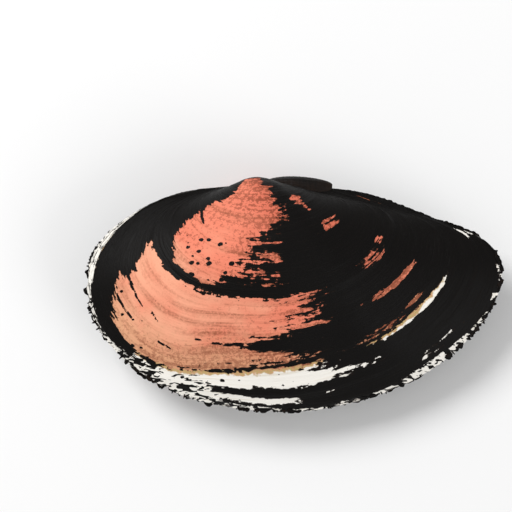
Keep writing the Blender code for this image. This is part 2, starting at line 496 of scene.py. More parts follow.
@dataclass(frozen=True)
class SkinAndShadeMap:
    """Where a valve's dark skin lies and where the shell shows through it, and where specks, dabs or strokes
    of it are left; the dark skin is partly real and partly painted shade over the rear part and the margin.
    """

    band: GrowthBand
    bare: Tuple[Patch, ...]
    speckled: Tuple[Patch, ...]
    dabbed: Tuple[Patch, ...]
    kept: Tuple[Patch, ...] = ()

    def wear_and_shade(self, sweep: Rows, stage: Rows) -> Rows:
        """Gives the value at each point, which carries the skin's rubbing through and the painted shade: the
        deepest of the bare patches, less where skin is kept.

        Args:
            sweep: The sweep of each point.
            stage: The stage of each point.

        Returns:
            The value, a half at the skin's edge.
        """
        wear_and_shade = np.maximum.reduce([patch.worn_and_shaded(sweep, stage) for patch in self.bare])
        for patch in self.kept:
            wear_and_shade = np.minimum(wear_and_shade, 1.0 - patch.worn_and_shaded(sweep, stage))
        return wear_and_shade

    def specks(self, sweep: Rows, stage: Rows) -> Rows:
        """Gives the share of specks at each point."""
        return np.maximum.reduce([patch.worn_and_shaded(sweep, stage) for patch in self.speckled])

    def dabs(self, sweep: Rows, stage: Rows) -> Rows:
        """Gives the share of dabs at each point."""
        return np.maximum.reduce([patch.worn_and_shaded(sweep, stage) for patch in self.dabbed])


# The dark skin here is partly real and partly painted shade: it is left over the rear part and the margin and
# gone from the disc and the flank.
LEFT_SKIN_AND_SHADE = SkinAndShadeMap(
    band=GrowthBand(
        sweeps=(0.0, 0.10, 0.22, 0.30, 0.345, 0.38, 0.43, 0.49, 0.56, 0.62, 0.70, 0.85, 1.0),
        stages=(0.84, 0.90, 0.95, 0.945, 0.920, 0.868, 0.842, 0.815, 0.799, 0.784, 0.780, 0.81, 0.84),
    ),
    bare=(
        # The disc about the beak, and its frayed rear part
        Patch(
            ((0.335, 0.085), (0.48, 0.085), (0.505, 0.15), (0.53, 0.24), (0.475, 0.315), (0.42, 0.36),
             (0.415, 0.43), (0.385, 0.49), (0.34, 0.535), (0.27, 0.54), (0.238, 0.48), (0.229, 0.39),
             (0.243, 0.29), (0.285, 0.215), (0.325, 0.17)),
            fray=(0.013, 0.075),
        ),
        Patch(((0.40, 0.34), (0.50, 0.33), (0.48, 0.40), (0.47, 0.50), (0.40, 0.50)), strength=-0.2),
        # The flank, with the pale band below it
        Patch(
            ((0.208, 0.60), (0.30, 0.582), (0.40, 0.558), (0.525, 0.545), (0.505, 0.62), (0.47, 0.675),
             (0.42, 0.72), (0.385, 0.738), (0.48, 0.75), (0.488, 0.775), (0.44, 0.795), (0.40, 0.83),
             (0.365, 0.90), (0.31, 0.935), (0.265, 0.91), (0.243, 0.86), (0.222, 0.80), (0.243, 0.75),
             (0.222, 0.68)),
            fray=(0.012, 0.075),
        ),
        Patch(((0.45, 0.650), (0.54, 0.652), (0.54, 0.660), (0.45, 0.664)), stage_fray=0.01, strength=0.5),
        Patch(((0.33, 0.935), (0.365, 0.87), (0.42, 0.83), (0.495, 0.797), (0.51, 0.83), (0.555, 0.858),
               (0.48, 0.89), (0.42, 0.902), (0.37, 0.91)), fray=(0.03, 0.05), stage_fray=0.015),
        # Where the band comes through again behind, and the bits of flank along it
        Patch(((0.595, 0.785), (0.64, 0.776), (0.70, 0.778), (0.705, 0.79), (0.66, 0.797), (0.60, 0.79)),
              fray=(0.03, 0.02), stage_fray=0.010),
        Patch(((0.55, 0.775), (0.58, 0.76), (0.63, 0.757), (0.625, 0.775), (0.57, 0.785)), strength=-0.12),
        streak((0.643, 0.744), (0.660, 0.740), (0.662, 0.750), (0.646, 0.752), fray=0.015, stage_fray=0.008,
               strength=0.1),
        # The short streaks up the rear slope, from the lowest to the beak
        Patch(((0.598, 0.645), (0.69, 0.648), (0.695, 0.665), (0.655, 0.668), (0.625, 0.662)),
              fray=(0.04, 0.02), stage_fray=0.010),
        Patch(((0.64, 0.535), (0.66, 0.52), (0.675, 0.525), (0.672, 0.55), (0.64, 0.55)), strength=0.1),
        streak((0.686, 0.508), (0.698, 0.506), (0.701, 0.524), (0.690, 0.526), strength=-0.05),
        streak((0.632, 0.342), (0.650, 0.330), (0.682, 0.342), (0.672, 0.366), (0.650, 0.372), (0.632, 0.365),
               fray=0.015, stage_fray=0.012, strength=-0.08),
        streak((0.624, 0.246), (0.634, 0.244), (0.640, 0.274), (0.630, 0.276), strength=0.0),
        Patch(((0.598, 0.205), (0.62, 0.19), (0.638, 0.215), (0.632, 0.24), (0.608, 0.235)), strength=0.8),
        # The streaks along the upper rear edge
        streak((0.855, 0.762), (0.871, 0.766), (0.870, 0.778), (0.856, 0.775), fray=0.008, stage_fray=0.008),
        streak((0.838, 0.784), (0.856, 0.788), (0.855, 0.798), (0.838, 0.795), fray=0.008, stage_fray=0.006),
        streak((0.769, 0.905), (0.776, 0.900), (0.786, 0.965), (0.778, 0.975), fray=0.008, stage_fray=0.02),
        # The torn rim: below, behind, two nicks at the rear end, and up the front
        streak((0.262, 0.978), (0.300, 0.960), (0.312, 0.925), (0.375, 0.900), (0.388, 0.935), (0.478, 0.937),
               (0.480, 0.961), (0.410, 0.963), (0.390, 0.975), (0.440, 0.977), (0.450, 0.990), (0.500, 0.988),
               (0.520, 0.985), (0.530, 1.1), (0.255, 1.1), fray=0.02, stage_fray=0.012, strength=0.8),
        Patch(((0.550, 0.982), (0.605, 0.966), (0.650, 0.972), (0.678, 0.980), (0.690, 0.990), (0.692, 1.1),
               (0.545, 1.1)), fray=(0.02, 0.01), stage_fray=0.012, strength=0.7),
        streak((0.703, 0.978), (0.710, 0.976), (0.712, 1.1), (0.701, 1.1), fray=0.006, stage_fray=0.012,
               strength=0.3),
        streak((0.726, 0.980), (0.736, 0.974), (0.742, 1.1), (0.723, 1.1), fray=0.006, stage_fray=0.012,
               strength=0.3),
        Patch(((0.110, 0.980), (0.135, 0.930), (0.165, 0.925), (0.200, 0.945), (0.235, 0.972), (0.262, 0.985),
               (0.262, 1.1), (0.105, 1.1)), fray=(0.01, 0.02), stage_fray=0.012, strength=0.22),
        # Two marks in the skin above the rim
        streak((0.622, 0.926), (0.668, 0.926), (0.668, 0.946), (0.616, 0.946), stage_fray=0.008,
               strength=-0.34),
        streak((0.509, 0.924), (0.514, 0.920), (0.514, 0.946), (0.510, 0.944), fray=0.008, stage_fray=0.012,
               strength=-0.1),
    ),
    speckled=(
        Patch(((0.25, 0.38), (0.36, 0.36), (0.42, 0.40), (0.42, 0.54), (0.25, 0.56)), fray=(0.04, 0.04),
              stage_fray=0.04),
        Patch(((0.21, 0.74), (0.27, 0.74), (0.33, 0.90), (0.46, 0.83), (0.48, 0.90), (0.30, 0.96)),
              fray=(0.04, 0.04), stage_fray=0.03, strength=0.2),
    ),
    dabbed=(
        Patch(((0.225, 0.955), (0.285, 0.950), (0.305, 0.915), (0.375, 0.905), (0.395, 0.955), (0.44, 0.980),
               (0.50, 0.980), (0.53, 1.1), (0.225, 1.1)), stage_fray=0.012, strength=0.4),
        Patch(((0.53, 0.96), (0.77, 0.95), (0.78, 1.1), (0.52, 1.1)), stage_fray=0.012, strength=0.3),
    ),
    kept=(
        # The spike into the disc
        streak((0.200, 0.292), (0.235, 0.303), (0.280, 0.347), (0.276, 0.353), (0.232, 0.325), (0.200, 0.320),
               fray=0.006, stage_fray=0.006, strength=0.8),
        # Two broken lines down the front of the flank
        streak((0.241, 0.752), (0.249, 0.754), (0.249, 0.761), (0.241, 0.759), fray=0.005, stage_fray=0.006),
        streak((0.258, 0.756), (0.285, 0.765), (0.285, 0.772), (0.258, 0.765), fray=0.005, stage_fray=0.006),
        streak((0.287, 0.748), (0.302, 0.760), (0.302, 0.770), (0.286, 0.757), fray=0.005, stage_fray=0.006,
               strength=0.1),
        streak((0.240, 0.831), (0.258, 0.835), (0.274, 0.833), (0.274, 0.842), (0.258, 0.844), (0.240, 0.840),
               fray=0.005, stage_fray=0.006),
        # Three single flecks
        streak((0.314, 0.830), (0.322, 0.828), (0.322, 0.836), (0.314, 0.838), fray=0.004, stage_fray=0.005,
               strength=0.3),
        streak((0.326, 0.828), (0.334, 0.827), (0.334, 0.835), (0.326, 0.836), fray=0.004, stage_fray=0.005,
               strength=0.3),
        streak((0.354, 0.745), (0.363, 0.741), (0.363, 0.749), (0.354, 0.753), fray=0.004, stage_fray=0.005,
               strength=0.3),
    ),
)

# As above, the lower valve's dark skin is partly real and partly painted shade.
RIGHT_SKIN_AND_SHADE = SkinAndShadeMap(
    band=GrowthBand(
        sweeps=(0.0, 0.12, 0.24, 0.36, 0.50, 0.62, 0.74, 0.88, 1.0),
        stages=(0.84, 0.89, 0.93, 0.90, 0.85, 0.83, 0.85, 0.85, 0.84),
    ),
    bare=(
        Patch(
            ((0.33, 0.10), (0.50, 0.10), (0.56, 0.24), (0.58, 0.38), (0.56, 0.52), (0.50, 0.62),
             (0.40, 0.64), (0.31, 0.60), (0.27, 0.48), (0.26, 0.34), (0.29, 0.22)),
            fray=(0.03, 0.07),
        ),
        Patch(((0.30, 0.70), (0.38, 0.68), (0.47, 0.70), (0.50, 0.76), (0.44, 0.83), (0.35, 0.86),
               (0.29, 0.80)), fray=(0.03, 0.07)),
        Patch(((0.58, 0.73), (0.68, 0.74), (0.70, 0.76), (0.60, 0.76)), stage_fray=0.012),
        Patch(((0.40, 0.90), (0.52, 0.86), (0.64, 0.84), (0.66, 0.86), (0.54, 0.89), (0.42, 0.92)),
              strength=0.6),
        Patch(((0.22, 0.965), (0.40, 0.960), (0.42, 1.1), (0.22, 1.1)), stage_fray=0.012, strength=0.6),
        Patch(((0.42, 0.985), (0.72, 0.980), (0.72, 1.1), (0.42, 1.1)), strength=0.0),
    ),
    speckled=(
        Patch(((0.30, 0.40), (0.50, 0.40), (0.48, 0.62), (0.32, 0.62)), fray=(0.06, 0.06),
              stage_fray=0.06),
    ),
    dabbed=(
        Patch(((0.20, 0.94), (0.42, 0.94), (0.44, 1.1), (0.20, 1.1)), strength=0.4),
        Patch(((0.42, 0.97), (0.74, 0.96), (0.76, 1.1), (0.42, 1.1)), strength=0.45),
    ),
)


class Wire:
    """A value that runs through a material's nodes, on which the usual signs work."""

    def __init__(self, board: "Board", socket: bpy.types.NodeSocket) -> None:
        """Wraps a socket.

        Args:
            board: The material's board, on which new nodes go.
            socket: The output socket that the value comes from.
        """
        self.board = board
        self.socket = socket

    def maths(self, operation: str, *values: Union["Wire", Number]) -> "Wire":
        """Adds one Math node.

        Args:
            operation: The node's operation.
            values: What goes into its sockets, in order.

        Returns:
            Its value.
        """
        return self.board.node("ShaderNodeMath", {"operation": operation}, dict(enumerate(values)))

    def __add__(self, other: Union["Wire", Number]) -> "Wire":
        """Adds."""
        return self.maths("ADD", self, other)

    def __radd__(self, other: Number) -> "Wire":
        """Adds, with the number first."""
        return self.maths("ADD", other, self)

    def __sub__(self, other: Union["Wire", Number]) -> "Wire":
        """Subtracts."""
        return self.maths("SUBTRACT", self, other)

    def __rsub__(self, other: Number) -> "Wire":
        """Subtracts from a number."""
        return self.maths("SUBTRACT", other, self)

    def __mul__(self, other: Union["Wire", Number]) -> "Wire":
        """Multiplies."""
        return self.maths("MULTIPLY", self, other)

    def __rmul__(self, other: Number) -> "Wire":
        """Multiplies, with the number first."""
        return self.maths("MULTIPLY", other, self)

    def at_most(self, other: Union["Wire", Number]) -> "Wire":
        """Takes the lesser of the two."""
        return self.maths("MINIMUM", self, other)

    def at_least(self, other: Union["Wire", Number]) -> "Wire":
        """Takes the greater of the two."""
        return self.maths("MAXIMUM", self, other)

    def eased(self, low: float, high: float) -> "Wire":
        """Eases the value from 0 at low to 1 at high.

        Args:
            low: Where it is 0.
            high: Where it is 1, which may be the lower of the two.

        Returns:
            The eased value.
        """
        settings = {"interpolation_type": "SMOOTHSTEP"}
        sockets = {"Value": self, "From Min": low, "From Max": high, "To Min": 0.0, "To Max": 1.0}
        if low > high:
            sockets.update({"From Min": high, "From Max": low, "To Min": 1.0, "To Max": 0.0})
        return self.board.node("ShaderNodeMapRange", settings, sockets, "Result")


class Board:
    """One material's nodes."""

    noise_spread: float = 1.9

    def __init__(self, name: str) -> None:
        """Makes an empty material with its output.

        Args:
            name: The material's name.
        """
        self.material = bpy.data.materials.new(name)
        self.material.use_nodes = True
        self.tree = self.material.node_tree
        self.tree.nodes.clear()
        self.output = self.tree.nodes.new("ShaderNodeOutputMaterial")

    def node(
        self,
        kind: str,
        settings: Optional[Dict[str, Any]] = None,
        sockets: Optional[Dict[Union[int, str], Any]] = None,
        output: Union[int, str] = 0,
    ) -> Wire:
        """Adds one node.

        Args:
            kind: The node's type.
            settings: Its own settings, which are set first.
            sockets: The value or wire of each input socket.
            output: The output socket that is wanted.

        Returns:
            The wire from that output.
        """
        made = self.tree.nodes.new(kind)
        for name, value in (settings or {}).items():
            setattr(made, name, value)
        for name, value in (sockets or {}).items():
            if isinstance(value, Wire):
                self.tree.links.new(value.socket, made.inputs[name])
            else:
                made.inputs[name].default_value = value
        return Wire(self, made.outputs[output])

    def attribute(self, name: str, output: str = "Fac") -> Wire:
        """Reads one of the mesh's own attributes."""
        return self.node("ShaderNodeAttribute", {"attribute_name": name}, output=output)

    def place(self) -> Wire:
        """Reads the object's own coordinates."""
        return self.node("ShaderNodeTexCoord", output="Object")

    def stretched(
        self, vector: Wire, scale: Union[float, Sequence[float]], shift: Sequence[float] = (0.0, 0.0, 0.0)
    ) -> Wire:
        """Scales a vector axis by axis, then shifts it.

        Args:
            vector: The vector.
            scale: The scale along each axis, or one for all three.
            shift: What is added afterwards.

        Returns:
            The new vector.
        """
        scale = (scale,) * 3 if isinstance(scale, float) else scale
        return self.node("ShaderNodeMapping", sockets={"Vector": vector, "Scale": scale, "Location": shift})

    def noise(
        self, vector: Wire, detail: float = 2.0, roughness: float = 0.5, distortion: float = 0.0
    ) -> Wire:
        """Adds a noise of scale 1, spread so that it runs from about 0 to about 1.

        Args:
            vector: Where the noise is read.
            detail: How many finer octaves it has.
            roughness: How strong they are.
            distortion: How far it is folded.

        Returns:
            The noise.
        """
        sockets = {"Vector": vector, "Scale": 1.0, "Detail": detail, "Roughness": roughness}
        sockets["Distortion"] = distortion
        plain = self.node("ShaderNodeTexNoise", {"noise_dimensions": "3D"}, sockets, "Fac")
        return (plain - 0.5) * self.noise_spread + 0.5

    def mixed(
        self, share: Union[Wire, float], first: Union[Wire, Colour], second: Union[Wire, Colour]
    ) -> Wire:
        """Mixes two colours.

        Args:
            share: The share of the second colour.
            first: The first colour.
            second: The second colour.

        Returns:
            The mixed colour.
        """
        first, second = (one if isinstance(one, Wire) else (*one, 1.0) for one in (first, second))
        return self.node("ShaderNodeMix", {"data_type": "RGBA"}, {0: share, 6: first, 7: second}, 2)

    def bumped(self, height: Wire, depth: float, below: Optional[Wire] = None) -> Wire:
        """Turns a height from 0 to 1 into a normal.

        Args:
            height: The height.
            depth: What a height of 1 is in metres.
            below: The normal of what it lies on.

        Returns:
            The normal.
        """
        sockets: Dict[Union[int, str], Any] = {"Strength": 1.0, "Distance": depth, "Height": height}
        if below is not None:
            sockets["Normal"] = below
        return self.node("ShaderNodeBump", sockets=sockets, output="Normal")

    def finish(self, **sockets: Any) -> bpy.types.Material:
        """Adds the Principled shader and joins it to the output.

        Args:
            sockets: Its sockets, named with underscores in place of spaces.

        Returns:
            The material.
        """
        named = {name.replace("_", " "): value for name, value in sockets.items()}
        shader = self.node("ShaderNodeBsdfPrincipled", sockets=named)
        self.tree.links.new(shader.socket, self.output.inputs["Surface"])
        return self.material


@dataclass(frozen=True)
class ValveFinish:
    """A salmon shell with brown growth lines, under a near-black skin, rubbed through in places, which is
    partly real and partly painted shade over the rear part and the margin.
    """

    name: str
    shift: Tuple[float, float, float]
    peach: Colour = from_screen(244, 170, 138)
    salmon: Colour = from_screen(235, 134, 107)
    coral: Colour = from_screen(216, 114, 90)
    beige: Colour = from_screen(212, 162, 122)
    line_brown: Colour = from_screen(146, 86, 58)
    umber: Colour = from_screen(128, 64, 44)
    straw: Colour = from_screen(192, 168, 112)
    cream: Colour = from_screen(250, 246, 238)
    nacre: Colour = from_screen(244, 226, 214)
    skin: Colour = from_screen(10, 8, 7)
    skin_brown: Colour = from_screen(40, 26, 17)
    skin_thickness: float = 0.09 * MM
    wrinkle_depth: float = 0.05 * MM
    pore_depth: float = 0.014 * MM
    sheen: float = 0.095
    beige_levels: Tuple[float, float] = (-0.20, -0.02)
    straw_levels: Tuple[float, float] = (-0.020, -0.010)
    cream_levels: Tuple[float, float] = (-0.004, 0.004)
    speck_cells: Tuple[float, float, float] = (560.0, 760.0, 640.0)
    speck_size: float = 0.50
    bare_edge: Tuple[float, float] = (0.47, 0.53)

    def shell_colour(self, board: Board, growth: Wire, place: Wire) -> Wire:
        """Colours the bare shell.

        Args:
            board: The material's board.
            growth: X and Y in centimetres, and the growth level.
            place: The object's own coordinates.

        Returns:
            The colour.
        """
        cloud = board.noise(board.stretched(growth, (1.3, 1.3, 9.0), self.shift), 2.0)
        # warmth_and_shade reads coral_and_shade: partly the shell's own coral, partly painted shade that
        # darkens the rear side, the part near the beak and the front by the hinge, with lighter peach
        # elsewhere.
        warmth_and_shade = board.attribute("coral_and_shade") + (cloud - 0.5) * 0.45
        colour = board.mixed(warmth_and_shade.eased(0.0, 0.5), self.peach, self.salmon)
        colour = board.mixed(warmth_and_shade.eased(0.5, 1.0), colour, self.coral)
        past = board.attribute("past_band")
        ragged = (board.noise(board.stretched(place, 900.0), 2.0) - 0.5) * 0.02
        outer_beige = (past + ragged * 3.0).eased(*self.beige_levels)
        colour = board.mixed(outer_beige * 0.7, colour, self.beige)
        broad = board.noise(board.stretched(growth, (0.4, 0.4, 30.0), self.shift), 3.0, 0.6)
        fine = board.noise(board.stretched(growth, (0.8, 0.8, 130.0), self.shift), 2.0, 0.5)
        grain = board.noise(board.stretched(place, 2300.0), 2.0, 0.7)
        lined = broad.eased(0.35, 0.85) * (0.35 + 0.65 * fine.eased(0.3, 0.75)) * grain.eased(0.15, 0.65)
        colour = board.mixed(broad.eased(0.4, 0.9) * 0.16, colour, self.line_brown)
        colour = board.mixed(lined * (0.62 + warmth_and_shade * 0.3), colour, self.line_brown)
        # The umber stipple grows with warmth_and_shade, so behind the beak it is partly painted shade.
        mottle = board.noise(board.stretched(place, 1700.0, self.shift), 2.0, 0.75)
        dense = mottle + fine * 0.3 + warmth_and_shade * 0.33 + outer_beige * 0.2 + (broad - 0.45) * 0.35
        strength = (0.04 + warmth_and_shade * 0.78 + outer_beige * 0.24).at_least(0.0)
        colour = board.mixed(dense.eased(0.86, 1.02) * strength, colour, self.umber)
        straw = board.mixed(grain.eased(0.3, 0.8), self.straw, self.beige)
        colour = board.mixed((past + ragged).eased(*self.straw_levels), colour, straw)
        cream = board.mixed(fine.eased(0.55, 0.95) * 0.25, self.cream, self.straw)
        return board.mixed((past + ragged).eased(*self.cream_levels), colour, cream)

    def bareness(self, board: Board, growth: Wire, place: Wire) -> Wire:
        """Works out how bare of the dark skin each point is, the skin being partly real and partly painted
        shade, with an edge as ragged as dry skin.

        Args:
            board: The material's board.
            growth: X and Y in centimetres, and the growth level.
            place: The object's own coordinates.

        Returns:
            The bareness, which bares the shell above a half.
        """
        long_frays = board.noise(board.stretched(growth, (1.5, 1.5, 60.0), self.shift), 2.0, 0.55)
        short_frays = board.noise(board.stretched(growth, (6.0, 6.0, 100.0), self.shift), 2.0, 0.6)
        grain = board.noise(board.stretched(place, 900.0, self.shift), 3.0, 0.65)
        ragged = (long_frays - 0.5) * 0.6 + (short_frays - 0.5) * 0.4 + (grain - 0.5) * 0.4
        bare = board.attribute("wear_and_shade") + ragged - self.specks(board, place, grain)
        return bare - self.dabs(board, growth, grain)

    def specks(self, board: Board, place: Wire, grain: Wire) -> Wire:
        """Scatters what is left of the skin, partly painted shade, over a bare patch, as small specks.

        Args:
            board: The material's board.
            place: The object's own coordinates.
            grain: A noise that keeps the specks from being round.

        Returns:
            How much skin there is, 1 in the middle of a speck.
        """
        sockets = {"Vector": board.stretched(place, self.speck_cells, self.shift), "Scale": 1.0}
        cell = {"feature": "F1", "voronoi_dimensions": "3D"}
        distance = board.node("ShaderNodeTexVoronoi", cell, sockets, "Distance")
        chance = board.node("ShaderNodeTexVoronoi", cell, sockets, "Color")
        chance = board.node("ShaderNodeSeparateColor", sockets={"Color": chance}, output="Red")
        radius = (chance + board.attribute("specks") - 0.9).at_most(0.62) * self.speck_size
        return (radius - distance + (grain - 0.5) * 0.26).eased(0.0, 0.05)

    def dabs(self, board: Board, growth: Wire, grain: Wire) -> Wire:
        """Leaves short, hooked dabs of the skin along the margin.

        Args:
            board: The material's board.
            growth: X and Y in centimetres, and the growth level.
            grain: A noise that roughens the dabs.

        Returns:
            How much skin there is, 1 in the middle of a dab.
        """
        share = board.attribute("dabs")
        hooked = board.noise(board.stretched(growth, (5.0, 13.0, 12.0), self.shift), 1.0, 0.5, 0.9)
        kept = (hooked + (grain - 0.5) * 0.12 + share * 0.55 - 0.93).eased(-0.02, 0.03)
        return kept * share.eased(0.05, 0.35)

    def make(self) -> bpy.types.Material:
        """Builds the material."""
        board = Board(self.name)
        growth = board.attribute("growth", "Vector")
        place = board.place()
        # Where worn_and_shaded stays below a half the near-black skin shows; it is partly real skin and
        # partly painted shade.
        worn_and_shaded = self.bareness(board, growth, place)
        inside = board.attribute("inside")
        bare = worn_and_shaded.eased(*self.bare_edge).at_least(inside)
        wrinkles = board.noise(board.stretched(growth, (2.2, 2.2, 210.0), self.shift), 3.0, 0.6)
        pores = board.noise(board.stretched(place, 3800.0), 2.0, 0.6)
        shell = self.shell_colour(board, growth, place)
        shell = board.mixed(inside, shell, self.nacre)
        thin = worn_and_shaded.eased(0.36, 0.49) * 0.6
        skin = board.mixed((thin + wrinkles * 0.14 - 0.07).at_least(0.0), self.skin, self.skin_brown)
        colour = board.mixed(bare, skin, shell)
        roughness = 0.42 + bare * 0.14 + wrinkles * 0.12
        skin_top = 1.0 - worn_and_shaded.eased(0.42, 0.54)
        normal = board.bumped(skin_top, self.skin_thickness)
        normal = board.bumped(wrinkles, self.wrinkle_depth, normal)
        normal = board.bumped(pores, self.pore_depth, normal)
        return board.finish(
            Base_Color=colour, Roughness=roughness, Normal=normal, Specular_IOR_Level=self.sheen
        )


@dataclass(frozen=True)
class LigamentFinish:
    """Dark, horny and fibrous, browner where it is thin."""

    name: str = "ligament"
    horn: Colour = from_screen(10, 7, 6)
    amber: Colour = from_screen(27, 17, 11)
    crack: Colour = from_screen(5, 4, 3)
    fibre_depth: float = 0.06 * MM
    ring_depth: float = 0.02 * MM
    sheen: float = 0.16

    def make(self) -> bpy.types.Material:
        """Builds the material."""
        board = Board(self.name)
        place = board.place()
        fibres = board.noise(board.stretched(place, (260.0, 3400.0, 3400.0)), 3.0, 0.6)
        patches = board.noise(board.stretched(place, 420.0), 2.0)
        rings = board.noise(board.stretched(place, (2300.0, 500.0, 500.0)), 2.0, 0.5)
        thin = board.attribute("edge")
        share = (thin * 0.8 + fibres * 0.35 + (patches - 0.5) * 0.5).eased(0.15, 1.0)
        colour = board.mixed(share, self.horn, self.amber)
        colour = board.mixed(rings.eased(0.62, 0.85) * 0.4, colour, self.crack)
        normal = board.bumped(fibres, self.fibre_depth)
        normal = board.bumped(rings, self.ring_depth, normal)
        roughness = 0.36 + fibres * 0.2
        return board.finish(
            Base_Color=colour, Roughness=roughness, Normal=normal, Specular_IOR_Level=self.sheen
        )


@dataclass(frozen=True)
class FringeFinish:
    """The same near-black skin where it is loose: browner, and wrinkled along the margin."""

    name: str = "loose_skin"
    skin: Colour = from_screen(9, 7, 6)
    skin_brown: Colour = from_screen(38, 25, 16)
    wrinkle_depth: float = 0.04 * MM
    roughness: float = 0.5
    sheen: float = 0.095

    def make(self) -> bpy.types.Material:
        """Builds the material."""
        board = Board(self.name)
        place = board.place()
        patches = board.noise(board.stretched(place, 700.0), 3.0, 0.6)
        wrinkles = board.noise(board.stretched(place, 2600.0), 2.0, 0.6)
        colour = board.mixed(patches.eased(0.45, 0.95) * 0.6, self.skin, self.skin_brown)
        normal = board.bumped(wrinkles, self.wrinkle_depth)
        return board.finish(
            Base_Color=colour, Roughness=self.roughness, Normal=normal, Specular_IOR_Level=self.sheen
        )


@dataclass(frozen=True)
class FloorFinish:
    """A plain, matt, pale floor."""

    name: str = "floor"
    pale: Colour = (0.86, 0.86, 0.86)
    roughness: float = 0.9
    sheen: float = 0.1

    def make(self) -> bpy.types.Material:
        """Builds the material."""
        return Board(self.name).finish(
            Base_Color=(*self.pale, 1.0), Roughness=self.roughness, Specular_IOR_Level=self.sheen
        )


def add_values(mesh: bpy.types.Mesh, name: str, values: Rows) -> None:
    """Stores one value, or one vector, for each point of a mesh.

    Args:
        mesh: The mesh.
        name: The attribute's name.
        values: A row for each point.
    """
    kind, slot = ("FLOAT", "value") if values.ndim == 1 else ("FLOAT_VECTOR", "vector")
    mesh.attributes.new(name, kind, "POINT").data.foreach_set(slot, values.astype(np.float32).ravel())


def points_of(mesh: bpy.types.Mesh) -> Rows:
    """Gives a mesh's points, one row each."""
    flat = np.empty(len(mesh.vertices) * 3, dtype=np.float32)
    mesh.vertices.foreach_get("co", flat)
    return flat.reshape(-1, 3).astype(float)


def move_points(mesh: bpy.types.Mesh, points: Rows, placed: Matrix, lowest: float = -math.inf) -> None:
    """Puts a mesh's points where they belong.

    Args:
        mesh: The mesh.
        points: Where each point goes in the shell's own axes.
        placed: Takes the shell's own axes to the frame.
        lowest: The height in the frame below which the shape is worn flat.
    """
    turned = points @ np.array(placed.to_3x3()).T + np.array(placed.translation)
    turned[:, 2] = np.maximum(turned[:, 2], lowest)
    mesh.vertices.foreach_set("co", turned.astype(np.float32).ravel())
    mesh.update()


def sweep_of(points: Rows) -> Rows:
    """Gives the sweep of each point of a plain ball or band."""
    return np.arctan2(points[:, 1], points[:, 0]) / FULL_TURN % 1.0


def as_mesh(bm: bmesh.types.BMesh, name: str) -> bpy.types.Mesh:
    """Turns what was built into a mesh and frees it."""
    mesh = bpy.data.meshes.new(name)
    bm.to_mesh(mesh)
    bm.free()
    return mesh


def ball(name: str, around: int, rows: int, inside_out: bool = False) -> bpy.types.Mesh:
    """Makes a ball of rings, which a shape is then pulled over.

    Args:
        name: The mesh's name.
        around: How many points a ring has.
        rows: How many rings it has between its poles.
        inside_out: Whether the faces point inwards, for a shape that mirrors it.

    Returns:
        The mesh, a unit ball.
    """
    bm = bmesh.new()
    bmesh.ops.create_uvsphere(bm, u_segments=around, v_segments=rows + 1, radius=1.0)
    if inside_out:
        bmesh.ops.reverse_faces(bm, faces=bm.faces)
    return as_mesh(bm, name)


def shown(mesh: bpy.types.Mesh, finish: bpy.types.Material, sharp_above: float) -> bpy.types.Object:
    """Smooths and dresses a mesh and puts it in the scene.

    Args:
        mesh: The mesh.
        finish: Its material.
        sharp_above: The angle in degrees past which an edge stays sharp.

    Returns:
        The new object.
    """
    mesh.shade_smooth()
    mesh.set_sharp_from_angle(angle=math.radians(sharp_above))
    mesh.materials.append(finish)
    piece = bpy.data.objects.new(mesh.name, mesh)
    bpy.context.scene.collection.objects.link(piece)
    return piece


